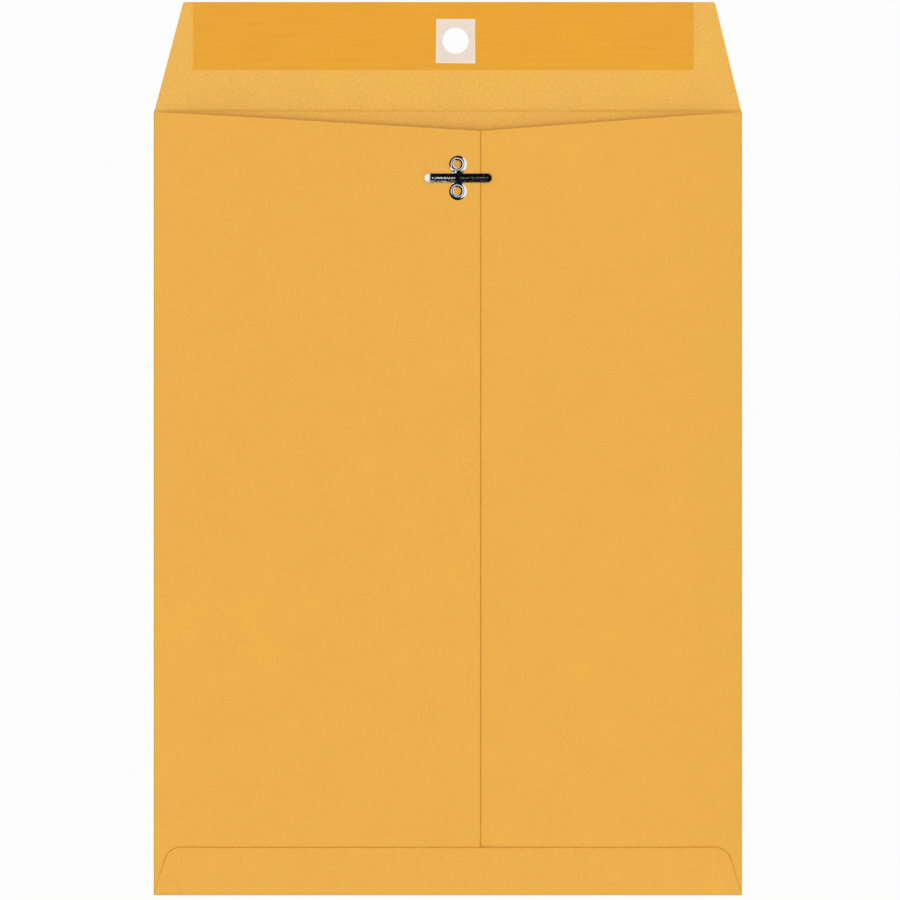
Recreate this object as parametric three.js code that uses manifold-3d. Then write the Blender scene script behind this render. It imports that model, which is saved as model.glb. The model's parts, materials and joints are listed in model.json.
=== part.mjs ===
// A kraft clasp envelope for letter-size sheets, lying clasp side up with its flap turned open.
// Millimetres. +X is to the right, +Y towards the flap, +Z up off the table.
// The origin is on the table, in the middle of the whole outline with the flap open.

import * as THREE from 'three';
import { mergeVertices } from 'three/addons/utils/BufferGeometryUtils.js';
import Module from 'manifold-3d';

const wasm = await Module();
wasm.setup();

// The paper and the pocket
const paper = 0.15; // thickness of the kraft paper
const bodyWidth = 228.6; // crease to crease
const bodyHeight = 304.8; // bottom crease to the score of the flap
const pocketClear = 4.4; // clear height inside, as the springy paper stands open
const sideRamp = 30; // width of the slope beside each side crease
const bottomRamp = 30; // and above the bottom crease

// The back panels and their seam
const seamOffset = 12.5; // the upper panel's edge, to the right of the middle
const lapWidth = 25.6; // how far the lower panel runs under the upper one
const seamGap = 0.35; // room between the lapped panels for the glue and the clasp's curls
const lapStep = 8; // width of the step where a sheet climbs over the one below
const mouthCorner = 0.5; // the mouth starts this far below the score at the side creases
const mouthDrop = 7.6; // and falls this much further to the seam
const seamGlueWidth = 4.3;
const seamGlueInset = 0.5; // from the upper panel's edge

// The bottom flap
const bottomFlapHeight = 18.65;
const bottomFlapInset = 6; // how far its slanted ends lean in
const bottomCornerRadius = 7;
const glueFilm = 0.1; // dried glue under the bottom flap
const bottomGlueHeight = 7;
const bottomGlueEdge = 2; // bare paper between the glue and the flap's edge
const bottomGlueEnd = 0.5; // and between the glue and the start of the side slope

// The closing flap, its gum, hole and patch
const flapDepth = 42.3;
const flapLeanLeft = 11.5; // the left end leans in this much from the crease to the tip
const flapLeanRight = 10.5;
const flapRootInset = 0.3; // each end of the score lies this far inside the creases
const flapCornerRadius = 0.8;
const scoreGap = 0.3; // the score line between the front panel and the flap
const holeDiameter = 10.2;
const holeX = 3;
const holeFromScore = 27.3;
const gumFilm = 0.05;
const gumWidth = 194.6;
const gumHeight = 26.4;
const gumX = -1.75; // middle of the gum strip
const patchThickness = 0.1;
const patchWidth = 15.3;
const patchHeight = 17.3;
const patchDrop = 0.25; // the patch sits this far below the hole's middle

// The clasp
const metal = 0.3; // thickness of the tinned steel
const claspX = 3.7;
const claspFromScore = 26.2;
const eyeletSpacing = 10.4;
const eyeletFlange = 6.9; // outer diameter
const eyeletBore = 2.9; // clear diameter
const eyeletRim = 4.3; // diameter of the rolled rim's crest
const eyeletCrown = 0.6; // and its height above the paper
const eyeletLip = 0.42; // height of the flange's outer edge, which turns up a little
const curlDiameter = 5.2; // the barrel's end, curled out behind the panel
const neckWidth = 3.4;
const prongWidth = 3.55;
const prongDrop = 0.2; // the prongs lie this far below the middle between the eyelets
const prongRoot = 2; // each prong bends this far from the clasp's middle
const prongReachLeft = 12.75; // clasp's middle to the left tip
const prongReachRight = 13.4;
const ribWidth = 1.8; // the bead pressed along each prong
const ribHeight = 0.2;
const ribEnd = 0.85; // bare metal between the bead and the prong's tip and root

// Running clearances
const slip = 0.05; // the prongs over the paper, the curls and barrels in it

// Vertices nearer to each other than this are one
const weld = 1e-4;

// Steps of the curves and bends
const rampSteps = 8;
const foldSteps = 2; // of them on the bottom fold, below the flap and the back panels
const stepSteps = 4;
const cornerSteps = 8;
const holeSides = 48;
const eyeletSides = 40;
const ribRounds = 3;

// Places that follow from the sizes
const halfWidth = bodyWidth / 2;
const bottomY = -(bodyHeight + flapDepth) / 2;
const scoreY = bottomY + bodyHeight;
const plateauX = halfWidth - sideRamp;
const rampUps = steps(paper, bottomRamp, rampSteps);
const footRows = rampUps.slice(foldSteps).map((up) => bottomY + up);
const lapEdgeX = seamOffset - lapWidth; // the hidden edge of the lower panel
const lapRise = paper + seamGap; // how much the upper panel stands over the lower one
const backZ = paper + pocketClear; // underside of the lower back panel where it is level
const clasp = { x: claspX, y: scoreY - claspFromScore, z: backZ + lapRise + paper };

const KRAFT = { color: 0xecb250, roughness: 0.8, metalness: 0 };
const KRAFT_INSIDE = { color: 0xedb65a, roughness: 0.85, metalness: 0 };
const GUM = { color: 0xe8a737, roughness: 0.4, metalness: 0 };
const PATCH = { color: 0xeeded0, roughness: 0.75, metalness: 0 };
const GLUE = { color: 0xe9e2cf, roughness: 0.5, metalness: 0 };
const TINNED_STEEL = { color: 0xc9cac8, roughness: 0.2, metalness: 1 };

function piece(name, geometry, finish) {
  const mesh = new THREE.Mesh(geometry, new THREE.MeshStandardMaterial(finish));
  mesh.name = name;
  return mesh;
}

function clamp01(value) {
  return Math.min(1, Math.max(0, value));
}

// Height of a slope as a share of the pocket's: steepest at the crease, level where it ends.
function bend(distance, ramp) {
  const share = clamp01((distance - paper) / (ramp - paper));
  return Math.sin((share * Math.PI) / 2);
}

function smoothStep(share) {
  const s = clamp01(share);
  return s * s * (3 - 2 * s);
}

function sideBend(x) {
  return bend(halfWidth - Math.abs(x), sideRamp);
}

function bottomBend(y) {
  return bend(y - bottomY, bottomRamp);
}

// The upper panel climbs onto the lower one.
function lapClimb(x) {
  return lapRise * smoothStep((x - (lapEdgeX - lapStep)) / lapStep);
}

// The bottom flap climbs with the upper panel and comes down again past the seam.
function flapClimb(x) {
  return lapClimb(x) - lapRise * smoothStep((x - seamOffset) / lapStep);
}

// Underside of the layer that the back panels and side folds make.
function backUnderside(x, y) {
  return paper + pocketClear * sideBend(x) * bottomBend(y);
}

// Underside of the bottom flap and its fold, over that layer.
function flapUnderside(x, y) {
  return backUnderside(x, y) + flapClimb(x) * bottomBend(y) + paper + glueFilm;
}

function steps(from, to, count) {
  return Array.from({ length: count + 1 }, (_, k) => from + ((to - from) * k) / count);
}

// A closed sheet between two grids of points, its outer face and its inner face.
function sheet(columns, rows, outerAt, innerAt) {
  const positions = [];
  for (const at of [outerAt, innerAt]) {
    for (let row = 0; row < rows; row += 1) {
      for (let column = 0; column < columns; column += 1) {
        positions.push(...at(column, row));
      }
    }
  }
  const inner = columns * rows;
  const index = [];
  const quad = (a, b, c, d) => index.push(a, b, c, a, c, d);
  const id = (column, row) => row * columns + column;
  for (let row = 0; row < rows - 1; row += 1) {
    for (let column = 0; column < columns - 1; column += 1) {
      const a = id(column, row);
      const b = id(column + 1, row);
      const c = id(column + 1, row + 1);
      const d = id(column, row + 1);
      quad(a, b, c, d);
      quad(inner + d, inner + c, inner + b, inner + a);
    }
  }
  const wall = (a, b) => quad(a, inner + a, inner + b, b);
  for (let column = 0; column < columns - 1; column += 1) {
    wall(id(column, 0), id(column + 1, 0));
    wall(id(column + 1, rows - 1), id(column, rows - 1));
  }
  for (let row = 0; row < rows - 1; row += 1) {
    wall(id(0, row + 1), id(0, row));
    wall(id(columns - 1, row), id(columns - 1, row + 1));
  }
  return outward(positions, index);
}

// The same triangles with every face pointing out.
function outward(positions, index) {
  const corner = (k) => new THREE.Vector3().fromArray(positions, 3 * index[k]);
  let volume = 0;
  for (let k = 0; k < index.length; k += 3) {
    volume += corner(k).dot(corner(k + 1).cross(corner(k + 2)));
  }
  if (volume < 0) {
    index.reverse();
  }
  const geometry = new THREE.BufferGeometry();
  geometry.setAttribute('position', new THREE.Float32BufferAttribute(positions, 3));
  geometry.setIndex(index);
  return geometry;
}

// A flat plate of any outline, standing on a height.
function plate(outline, thickness, z) {
  const geometry = new THREE.ExtrudeGeometry(outline, {
    depth: thickness,
    bevelEnabled: false,
    curveSegments: cornerSteps,
  });
  return geometry.translate(0, 0, z);
}

function bar(x0, x1, y0, y1, z0, z1) {
  const geometry = new THREE.BoxGeometry(x1 - x0, y1 - y0, z1 - z0);
  return geometry.translate((x0 + x1) / 2, (y0 + y1) / 2, (z0 + z1) / 2);
}

function rectangle(x0, x1, y0, y1) {
  const outline = new THREE.Shape();
  outline.moveTo(x0, y0);
  outline.lineTo(x1, y0);
  outline.lineTo(x1, y1);
  outline.lineTo(x0, y1);
  outline.closePath();
  return outline;
}

function solid(geometry) {
  const bare = geometry.clone();
  bare.deleteAttribute('normal');
  bare.deleteAttribute('uv');
  const merged = mergeVertices(bare, weld);
  return new wasm.Manifold(
    new wasm.Mesh({
      numProp: 3,
      vertProperties: new Float32Array(merged.attributes.position.array),
      triVerts: new Uint32Array(merged.index.array),
    }),
  );
}

function fromSolid(body) {
  const mesh = body.getMesh();
  const geometry = new THREE.BufferGeometry();
  geometry.setAttribute('position', new THREE.BufferAttribute(mesh.vertProperties, 3));
  geometry.setIndex(new THREE.BufferAttribute(mesh.triVerts, 1));
  return geometry;
}

// The address side: one flat panel on the table, inside the creases that wrap its edges.
function frontPanel() {
  const inner = halfWidth - paper;
  const top = scoreY - scoreGap / 2;
  return piece('front_panel', bar(-inner, inner, bottomY + paper, top, 0, paper), KRAFT);
}

// Where the mouth's edge lies: a shallow V, deepest at the seam.
function mouthY(x, side) {
  const fromCrease = halfWidth - side * x;
  const creaseToSeam = halfWidth - side * seamOffset;
  return scoreY - mouthCorner - (mouthDrop * fromCrease) / creaseToSeam;
}

// A side crease with its slope, wrapped round the front panel's edge. Its foot flattens into the corner.
function sideFold(name, side) {
  const acrosses = [0, 0, ...steps(paper, sideRamp, rampSteps).slice(1)];
  const ups = [...rampUps, bodyHeight];
  const point = (inside) => (column, row) => {
    const x = side * (halfWidth - Math.max(acrosses[column], inside ? paper : 0));
    const mouth = mouthY(side * (halfWidth - acrosses[column]), side);
    const y = Math.min(bottomY + ups[row], mouth);
    if (column === 0) {
      return [x, y, 0];
    }
    return [x, y, backUnderside(x, y) + (inside ? 0 : paper)];
  };
  return piece(name, sheet(acrosses.length, ups.length, point(false), point(true)), KRAFT);
}

// A back panel: level, but its foot slopes down. Its upper edge is cut along the mouth.
function backPanel(side, xs, climb) {
  const point = (lift) => (column, row) => {
    const x = xs[column];
    const y = row < footRows.length ? footRows[row] : mouthY(x, side);
    return [x, y, backUnderside(x, y) + climb(x) * bottomBend(y) + lift];
  };
  return sheet(xs.length, footRows.length + 1, point(paper), point(0));
}

function rightBackPanel() {
  const geometry = backPanel(1, [lapEdgeX, plateauX], () => 0);
  return piece('right_back_panel', geometry, KRAFT);
}

// The upper panel has two punched holes for the clasp's barrels.
function leftBackPanel() {
  const xs = [-plateauX, ...steps(lapEdgeX - lapStep, lapEdgeX, stepSteps), seamOffset];
  let panel = solid(backPanel(-1, xs, lapClimb));
  const punchLength = 4 * paper;
  for (const end of [-1, 1]) {
    const radius = eyeletBore / 2 + metal + slip;
    const punch = new THREE.CylinderGeometry(radius, radius, punchLength, eyeletSides);
    punch.rotateX(Math.PI / 2);
    punch.translate(clasp.x, clasp.y + (end * eyeletSpacing) / 2, clasp.z - paper / 2);
    panel = panel.subtract(solid(punch));
  }
  return piece('left_back_panel', fromSolid(panel), KRAFT);
}

// Stations across the bottom flap, close together where it bends or steps.
function bottomStations() {
  const ramp = [0, ...steps(paper, sideRamp, rampSteps).slice(1)];
  return [
    ...ramp.map((distance) => distance - halfWidth),
    ...steps(lapEdgeX - lapStep, lapEdgeX, stepSteps),
    ...steps(seamOffset, seamOffset + lapStep, stepSteps),
    ...ramp.map((distance) => halfWidth - distance).reverse(),
  ];
}

// The whole bottom flap's outline: leaning ends and rounded corners.
function bottomOutline() {
  const lean = Math.atan2(bottomFlapInset, bottomFlapHeight);
  const tangent = bottomCornerRadius * Math.tan((Math.PI / 2 - lean) / 2);
  const centreX = halfWidth - bottomFlapInset - tangent;
  const centreY = bottomY + bottomFlapHeight - bottomCornerRadius;
  const outline = new THREE.Shape();
  outline.moveTo(-halfWidth, bottomY);
  outline.lineTo(halfWidth, bottomY);
  outline.absarc(centreX, centreY, bottomCornerRadius, lean, Math.PI / 2, false);
  outline.absarc(-centreX, centreY, bottomCornerRadius, Math.PI / 2, Math.PI - lean, false);
  outline.closePath();
  return outline;
}

function cutToOutline(geometry, outline) {
  const reach = 4 * (pocketClear + lapRise);
  return fromSolid(solid(geometry).intersect(solid(plate(outline, 2 * reach, -reach))));
}

// The bottom crease with the start of its slope, wrapped round the front panel's lower edge.
function bottomFold() {
  const xs = bottomStations();
  const ups = [0, 0, ...rampUps.slice(1, foldSteps + 1)];
  const point = (inside) => (column, row) => {
    const x = xs[column];
    const y = bottomY + Math.max(ups[row], inside ? paper : 0);
    if (row === 0) {
      return [x, y, 0];
    }
    return [x, y, flapUnderside(x, y) + (inside ? 0 : paper)];
  };
  const bent = sheet(xs.length, ups.length, point(false), point(true));
  return piece('bottom_fold', cutToOutline(bent, bottomOutline()), KRAFT);
}

// The glued flap itself, from the end of the fold to its rounded corners, on the panels' slope.
function bottomFlap() {
  const xs = bottomStations();
  const point = (lift) => (column, row) => {
    const x = xs[column];
    const y = footRows[row];
    return [x, y, flapUnderside(x, y) + lift];
  };
  const sloping = sheet(xs.length, footRows.length, point(paper), point(0));
  return piece('bottom_flap', cutToOutline(sloping, bottomOutline()), KRAFT);
}

// A film of dried glue on the back panels.
function film(x0, x1, ys, thicknessAt) {
  const point = (share) => (column, row) => {
    const y = ys[row];
    const top = backUnderside(0, y) + paper;
    return [column === 0 ? x0 : x1, y, top + share * thicknessAt(y)];
  };
  return sheet(2, ys.length, point(1), point(0));
}

// Dried glue: a film between the bottom flap and each back panel, and one along the seam.
function glueLines() {
  const top = bottomY + bottomFlapHeight - bottomGlueEdge;
  const band = rectangle(-halfWidth, halfWidth, top - bottomGlueHeight, top);
  const far = plateauX - bottomGlueEnd;
  const left = film(-far, lapEdgeX - lapStep, footRows, () => glueFilm);
  const right = film(seamOffset + lapStep, far, footRows, () => glueFilm);
  const seamEnd = seamOffset - seamGlueInset;
  const seamTop = mouthY(lapEdgeX, 1) - seamGlueInset;
  const room = (y) => lapRise * bottomBend(y) - paper;
  const seam = film(seamEnd - seamGlueWidth, seamEnd, [...footRows, seamTop], room);
  return [
    piece('bottom_glue_left', cutToOutline(left, band), GLUE),
    piece('bottom_glue_right', cutToOutline(right, band), GLUE),
    piece('centre_seam_glue', seam, GLUE),
  ];
}

function flapHole() {
  const hole = new THREE.Path();
  hole.setFromPoints(
    Array.from({ length: holeSides }, (_, k) => {
      const angle = (-2 * Math.PI * k) / holeSides;
      const radius = holeDiameter / 2;
      const y = scoreY + holeFromScore + radius * Math.sin(angle);
      return new THREE.Vector2(holeX + radius * Math.cos(angle), y);
    }),
  );
  return hole;
}

// The closing flap: leaning ends, hardly rounded corners and the hole for the prongs.
function closingFlap() {
  const root = scoreY + scoreGap / 2;
  const tip = scoreY + flapDepth;
  const rootEnd = halfWidth - flapRootInset;
  const left = -halfWidth + flapLeanLeft;
  const right = halfWidth - flapLeanRight;
  const r = flapCornerRadius;
  const outline = new THREE.Shape();
  outline.moveTo(-rootEnd, root);
  outline.lineTo(rootEnd, root);
  outline.lineTo(right + (r * flapLeanRight) / flapDepth, tip - r);
  outline.quadraticCurveTo(right, tip, right - r, tip);
  outline.lineTo(left + r, tip);
  outline.quadraticCurveTo(left, tip, left - (r * flapLeanLeft) / flapDepth, tip - r);
  outline.closePath();
  outline.holes.push(flapHole());
  return piece('closing_flap', plate(outline, paper, 0), KRAFT_INSIDE);
}

function flapGum() {
  const tip = scoreY + flapDepth;
  const outline = rectangle(gumX - gumWidth / 2, gumX + gumWidth / 2, tip - gumHeight, tip);
  outline.holes.push(flapHole());
  return piece('flap_gum', plate(outline, gumFilm, paper), GUM);
}

function holePatch() {
  const y = scoreY + holeFromScore - patchDrop;
  const outline = rectangle(
    holeX - patchWidth / 2,
    holeX + patchWidth / 2,
    y - patchHeight / 2,
    y + patchHeight / 2,
  );
  outline.holes.push(flapHole());
  return piece('hole_patch', plate(outline, patchThickness, paper + gumFilm), PATCH);
}

// One eyelet: a dished flange with a rolled rim that funnels into the barrel, and a curl behind the paper.
function eyelet(y) {
  const bore = eyeletBore / 2;
  const rim = eyeletRim / 2;
  const flange = eyeletFlange / 2;
  const curl = curlDiameter / 2;
  const behind = -paper - slip;
  const profile = [
    [bore, behind - metal + slip],
    [curl, behind - metal + slip],
    [curl, behind],
    [bore + metal, behind],
    [bore + metal, 0],
    [flange, 0],
    [flange, metal / 2],
    [flange - metal / 2, eyeletLip],
    [flange - metal, eyeletLip],
    [rim + 1.5 * metal, metal],
    [rim + metal, metal],
    [rim + metal / 2, eyeletCrown - metal / 4],
    [rim, eyeletCrown],
    [rim - metal / 2, eyeletCrown - metal / 4],
    [bore, eyeletCrown - 2 * metal],
    [bore, behind - metal + slip],
  ].map(([r, z]) => new THREE.Vector2(r, z));
  const ring = new THREE.LatheGeometry(profile, eyeletSides);
  ring.rotateX(Math.PI / 2);
  ring.translate(clasp.x, clasp.y + y, clasp.z);
  return ring;
}

// The stamping's fixed middle: the neck and the two eyelets in one.
function claspBase() {
  const half = eyeletSpacing / 2;
  const reach = half - eyeletFlange / 2 + metal;
  const neck = bar(
    clasp.x - neckWidth / 2,
    clasp.x + neckWidth / 2,
    clasp.y - reach,
    clasp.y + reach,
    clasp.z,
    clasp.z + metal,
  );
  const base = solid(neck).add(solid(eyelet(half))).add(solid(eyelet(-half)));
  return piece('clasp_base', fromSolid(base), TINNED_STEEL);
}

// A strip along X with a full-round outer end, and a round inner end too where it is asked for.
function strip(root, tip, width, bothRound) {
  const half = width / 2;
  const middle = clasp.y - prongDrop;
  const side = Math.sign(tip - root);
  const from = side > 0 ? -Math.PI / 2 : Math.PI / 2;
  const outline = new THREE.Shape();
  if (bothRound) {
    outline.absarc(root + side * half, middle, half, from + Math.PI, from + 2 * Math.PI, false);
  } else {
    outline.moveTo(root, middle + side * half);
    outline.lineTo(root, middle - side * half);
  }
  outline.absarc(tip - side * half, middle, half, from, from + Math.PI, false);
  outline.closePath();
  return outline;
}

// One prong, lying flat on the paper, with a bead pressed along it.
function claspProng(name, side, reach) {
  const root = clasp.x + side * prongRoot;
  const tip = clasp.x + side * reach;
  const z = clasp.z + slip;
  const blade = plate(strip(root, tip, prongWidth, false), metal, z);
  const rib = new THREE.ExtrudeGeometry(
    strip(root + side * ribEnd, tip - side * ribEnd, ribWidth, true),
    {
      depth: metal / 4,
      bevelThickness: ribHeight,
      bevelSize: ribWidth / 4,
      bevelOffset: -ribWidth / 4,
      bevelSegments: ribRounds,
      curveSegments: cornerSteps,
    },
  );
  rib.translate(0, 0, z + metal - metal / 4);
  return piece(name, fromSolid(solid(blade).add(solid(rib))), TINNED_STEEL);
}

const envelope = new THREE.Group();
envelope.name = 'clasp_envelope';
envelope.add(
  frontPanel(),
  sideFold('left_side_fold', -1),
  sideFold('right_side_fold', 1),
  leftBackPanel(),
  rightBackPanel(),
  bottomFold(),
  bottomFlap(),
  ...glueLines(),
  closingFlap(),
  flapGum(),
  holePatch(),
  claspBase(),
  claspProng('clasp_prong_left', -1, prongReachLeft),
  claspProng('clasp_prong_right', 1, prongReachRight),
);

export default envelope;
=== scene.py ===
import json
import math

import bmesh
import bpy
from mathutils import Matrix, Vector


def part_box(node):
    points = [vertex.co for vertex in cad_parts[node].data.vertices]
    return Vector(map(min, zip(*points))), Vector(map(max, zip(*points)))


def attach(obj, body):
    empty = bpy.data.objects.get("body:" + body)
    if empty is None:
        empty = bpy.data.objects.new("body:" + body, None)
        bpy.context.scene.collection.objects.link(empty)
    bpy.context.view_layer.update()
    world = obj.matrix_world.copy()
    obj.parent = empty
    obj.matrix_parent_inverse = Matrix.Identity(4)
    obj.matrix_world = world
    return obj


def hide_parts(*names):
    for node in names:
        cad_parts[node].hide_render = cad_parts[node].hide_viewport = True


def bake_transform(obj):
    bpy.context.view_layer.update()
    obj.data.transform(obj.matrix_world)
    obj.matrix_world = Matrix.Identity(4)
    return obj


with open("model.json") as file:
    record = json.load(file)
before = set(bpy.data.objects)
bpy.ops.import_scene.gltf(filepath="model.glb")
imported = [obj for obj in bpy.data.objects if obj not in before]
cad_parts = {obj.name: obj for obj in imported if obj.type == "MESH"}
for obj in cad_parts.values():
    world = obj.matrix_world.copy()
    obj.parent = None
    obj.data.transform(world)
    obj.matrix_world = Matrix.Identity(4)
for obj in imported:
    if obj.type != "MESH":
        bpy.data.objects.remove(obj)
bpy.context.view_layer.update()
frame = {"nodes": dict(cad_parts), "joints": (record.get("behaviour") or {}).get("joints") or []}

MM = 0.001

# The view of the photograph: straight down on the clasp side, through a long lens.
# The envelope fills the picture's height, and its middle lies a little left of the picture's.
PICTURE = 900
PIXEL = 0.3887 * MM
BODY_MIDDLE_COLUMN = 447.8
SCORE_ROW = 110.9
LENS = 200.0
SENSOR = 36.0
FARTHEST = 20.0


def placed(name, data):
    """A new object with that data, at the scene's origin."""
    thing = bpy.data.objects.new(name, data)
    bpy.context.scene.collection.objects.link(thing)
    return thing


fold_joint = next(joint for joint in frame["joints"] if joint["name"] == "flap_fold")
score_y = fold_joint["pos_m"][1]
camera_data = bpy.data.cameras.new("camera")
camera_data.lens = LENS
camera_data.sensor_width = SENSOR
camera_data.clip_end = FARTHEST
camera = placed("camera", camera_data)
camera.location = (
    (PICTURE / 2 - BODY_MIDDLE_COLUMN) * PIXEL,
    score_y - (PICTURE / 2 - SCORE_ROW) * PIXEL,
    PICTURE * PIXEL * LENS / SENSOR,
)
bpy.context.scene.camera = camera
bpy.context.scene.view_settings.view_transform = "Standard"


# The table top, white and matt, a hair under the envelope. What the camera sees of it is lifted
# to white, but for the shadow.
def new_material(name):
    """A material with no nodes yet, and its tree."""
    material = bpy.data.materials.new(name)
    material.use_nodes = True
    material.node_tree.nodes.clear()
    return material, material.node_tree


def give(tree, value, socket):
    """Sets the socket to a number or a colour, or links another node's output to it."""
    if isinstance(value, bpy.types.NodeSocket):
        tree.links.new(value, socket)
    else:
        socket.default_value = value


def math_node(tree, operation, *values):
    """The result of a Math node. Each value is a number or another node's output."""
    node = tree.nodes.new("ShaderNodeMath")
    node.operation = operation
    for socket, value in zip(node.inputs, values):
        give(tree, value, socket)
    return node.outputs[0]


def matt(tree, grey):
    """A perfectly matt grey shader."""
    node = tree.nodes.new("ShaderNodeBsdfDiffuse")
    node.inputs["Color"].default_value = (grey, grey, grey, 1)
    return node.outputs[0]


def sees_white(tree):
    """1 for the rays that should find a white background: camera, glossy and transmitted ones."""
    rays = tree.nodes.new("ShaderNodeLightPath").outputs
    direct = math_node(tree, "MAXIMUM", rays["Is Camera Ray"], rays["Is Glossy Ray"])
    return math_node(tree, "MAXIMUM", direct, rays["Is Transmission Ray"])


def mixed(tree, share, first, second):
    """The first shader where the share is 0 and the second where it is 1."""
    node = tree.nodes.new("ShaderNodeMixShader")
    for socket, value in zip(node.inputs, (share, first, second)):
        tree.links.new(value, socket)
    return node.outputs[0]


def show(tree, shader):
    """Makes the shader the surface of its material."""
    out = tree.nodes.new("ShaderNodeOutputMaterial")
    tree.links.new(shader, out.inputs["Surface"])


def board(name, outline, height, material):
    """A flat board of that outline, lying level at that height."""
    mesh = bpy.data.meshes.new(name)
    mesh.from_pydata([(x, y, height) for x, y in outline], [], [tuple(range(len(outline)))])
    mesh.materials.append(material)
    return placed(name, mesh)


TABLE_HALF = 3.0
TABLE_DROP = 0.05 * MM
TABLE_GREY = 0.9
TABLE_LIFT = 0.8
table_material, tree = new_material("white table")
glow = tree.nodes.new("ShaderNodeEmission")
glow.inputs["Color"].default_value = (1, 1, 1, 1)
lift = math_node(tree, "MULTIPLY", sees_white(tree), TABLE_LIFT)
show(tree, mixed(tree, lift, matt(tree, TABLE_GREY), glow.outputs[0]))
table_corners = [(x * TABLE_HALF, y * TABLE_HALF) for x, y in ((-1, -1), (1, -1), (1, 1), (-1, 1))]
table_top = board("table_top", table_corners, -TABLE_DROP, table_material)

# The light: an even white room, and one broad lamp nearly overhead, which casts the soft shadow.
# The metal mirrors the room but not the lamp.
ROOM = 0.65
LAMP = 1.13
LAMP_FROM = Vector((-0.12, -0.10, 1.0))
LAMP_WIDTH = math.radians(40)
world = bpy.data.worlds.new("room")
world.use_nodes = True
tree = world.node_tree
tree.nodes.clear()
lights = []
for strength in (ROOM, 1.0):
    background = tree.nodes.new("ShaderNodeBackground")
    background.inputs["Color"].default_value = (1, 1, 1, 1)
    background.inputs["Strength"].default_value = strength
    lights.append(background.outputs[0])
out = tree.nodes.new("ShaderNodeOutputWorld")
tree.links.new(mixed(tree, sees_white(tree), *lights), out.inputs["Surface"])
bpy.context.scene.world = world

lamp_data = bpy.data.lights.new("broad_lamp", "SUN")
lamp_data.energy = LAMP
lamp_data.angle = LAMP_WIDTH
lamp = placed("broad_lamp", lamp_data)
lamp.rotation_euler = LAMP_FROM.to_track_quat("Z", "Y").to_euler()
lamp.visible_glossy = False

# A black card over the table, as photographers hang one over bright steel: only the metal mirrors it.
# Right of its stepped edge the white room shows in the eyelets' right sides and the left prong's tip.
CARD_HEIGHT = 0.6
CARD_GREY = 0.004
CARD_OUTLINE = (
    (-2.0, -1.6),
    (-2.0, 1.8),
    (0.3, 1.8),
    (0.3, 0.27),
    (0.12, 0.27),
    (0.12, -0.2),
    (0.6, -0.2),
    (0.6, -1.6),
)
card_material, tree = new_material("black card")
show(tree, matt(tree, CARD_GREY))
card = board("black_card", CARD_OUTLINE, CARD_HEIGHT, card_material)
card.visible_camera = False
card.visible_diffuse = False
card.visible_shadow = False
card.visible_transmission = False


# The kraft paper: golden brown, matt, faintly blotched, with a fine grain and short fibres.
# It is painted darker along the creases and the score: painted shade, for the rounded folds and the
# score's groove.
# Every pattern reads the sheet's flat place, which each sheet keeps however it is bent.
def noise(tree, place, sheet, size, detail, stretch=(1, 1, 1), turn=0.0):
    """Noise whose spots are about size across, another on each sheet, centred on 0."""
    mapping = tree.nodes.new("ShaderNodeMapping")
    mapping.vector_type = "TEXTURE"
    mapping.inputs["Rotation"].default_value = (0, 0, turn)
    mapping.inputs["Scale"].default_value = stretch
    tree.links.new(place, mapping.inputs["Vector"])
    texture = tree.nodes.new("ShaderNodeTexNoise")
    texture.noise_dimensions = "4D"
    texture.inputs["Scale"].default_value = 1 / size
    texture.inputs["Detail"].default_value = detail
    texture.inputs["Roughness"].default_value = 0.55
    tree.links.new(mapping.outputs[0], texture.inputs["Vector"])
    give(tree, sheet, texture.inputs["W"])
    return math_node(tree, "SUBTRACT", texture.outputs["Fac"], 0.5)


def weighted_sum(tree, *terms):
    """The sum of values times their weights."""
    total = None
    for value, weight in terms:
        term = math_node(tree, "MULTIPLY", value, weight)
        total = term if total is None else math_node(tree, "ADD", total, term)
    return total


def tinted(tree, colour, brightness, warmth):
    """The colour times 1 + brightness and deeper where it is darker, its blue also times 1 - warmth."""
    factor = math_node(tree, "ADD", brightness, 1.0)
    depth = math_node(tree, "SUBTRACT", 1.0, brightness)
    combine = tree.nodes.new("ShaderNodeCombineColor")
    for channel, base in zip(("Red", "Green", "Blue"), colour):
        value = math_node(tree, "MULTIPLY", math_node(tree, "POWER", base, depth), factor)
        if channel == "Blue":
            value = math_node(tree, "MULTIPLY", value, math_node(tree, "SUBTRACT", 1.0, warmth))
        tree.links.new(value, combine.inputs[channel])
    return combine.outputs[0]


def attribute(tree, name, output):
    node = tree.nodes.new("ShaderNodeAttribute")
    node.attribute_name = name
    return node.outputs[output]


def flat_place(tree):
    """The point's place on the flat sheet, and the sheet's number."""
    return attribute(tree, "flat_place", "Vector"), attribute(tree, "sheet_number", "Fac")


def coat(tree, colour, roughness, specular=0.5, metallic=0.0, relief=None):
    """Makes the material's surface. A relief is a pattern, its bump's strength and its height."""
    principled = tree.nodes.new("ShaderNodeBsdfPrincipled")
    give(tree, colour, principled.inputs["Base Color"])
    give(tree, roughness, principled.inputs["Roughness"])
    give(tree, specular, principled.inputs["Specular IOR Level"])
    give(tree, metallic, principled.inputs["Metallic"])
    if relief:
        pattern, strength, height = relief
        bump = tree.nodes.new("ShaderNodeBump")
        bump.inputs["Strength"].default_value = strength
        bump.inputs["Distance"].default_value = height
        tree.links.new(pattern, bump.inputs["Height"])
        tree.links.new(bump.outputs[0], principled.inputs["Normal"])
    show(tree, principled.outputs[0])


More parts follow.
